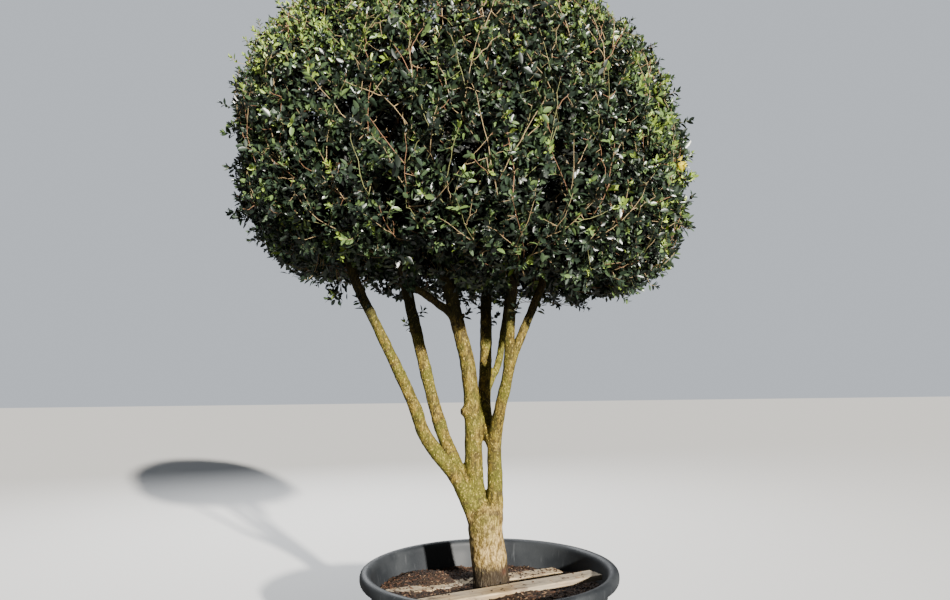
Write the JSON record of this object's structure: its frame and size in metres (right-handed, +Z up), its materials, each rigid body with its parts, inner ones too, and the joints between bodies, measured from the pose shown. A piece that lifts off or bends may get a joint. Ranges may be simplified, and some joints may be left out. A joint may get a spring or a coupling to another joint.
{
  "type": "potted osmanthus tree",
  "caption": "Clipped evergreen osmanthus grown on several bare stems from a short trunk, its crown cut to a flattened ball, in a round plastic nursery tub.",
  "frame": {"origin": "centre of the tub's flat underside, which stands on the ground", "axes": "+Z up, +X to the right and -Y towards the viewer, as the plant is seen in the picture"},
  "size_m": [2.1917, 1.9998, 3.3598],
  "materials": {
    "tub": "matte",
    "soil": "matte",
    "board": "matte",
    "bark": "matte",
    "foliage": "matte"
  },
  "bodies": {
    "root": {"tub": "tub", "soil": "soil", "board_front": "board", "board_back": "board", "trunk": "bark", "bough_left": "bark", "bough_centre": "bark", "bough_right": "bark", "bough_left_back": "bark", "bough_back": "bark", "bough_right_back": "bark", "bough_front": "bark", "bough_right_outer": "bark", "foliage_top": "foliage", "foliage_right": "foliage", "foliage_right_back": "foliage", "foliage_back": "foliage", "foliage_left_back": "foliage", "foliage_left_front": "foliage", "foliage_front": "foliage", "foliage_right_front": "foliage"}
  },
  "joints": []
}
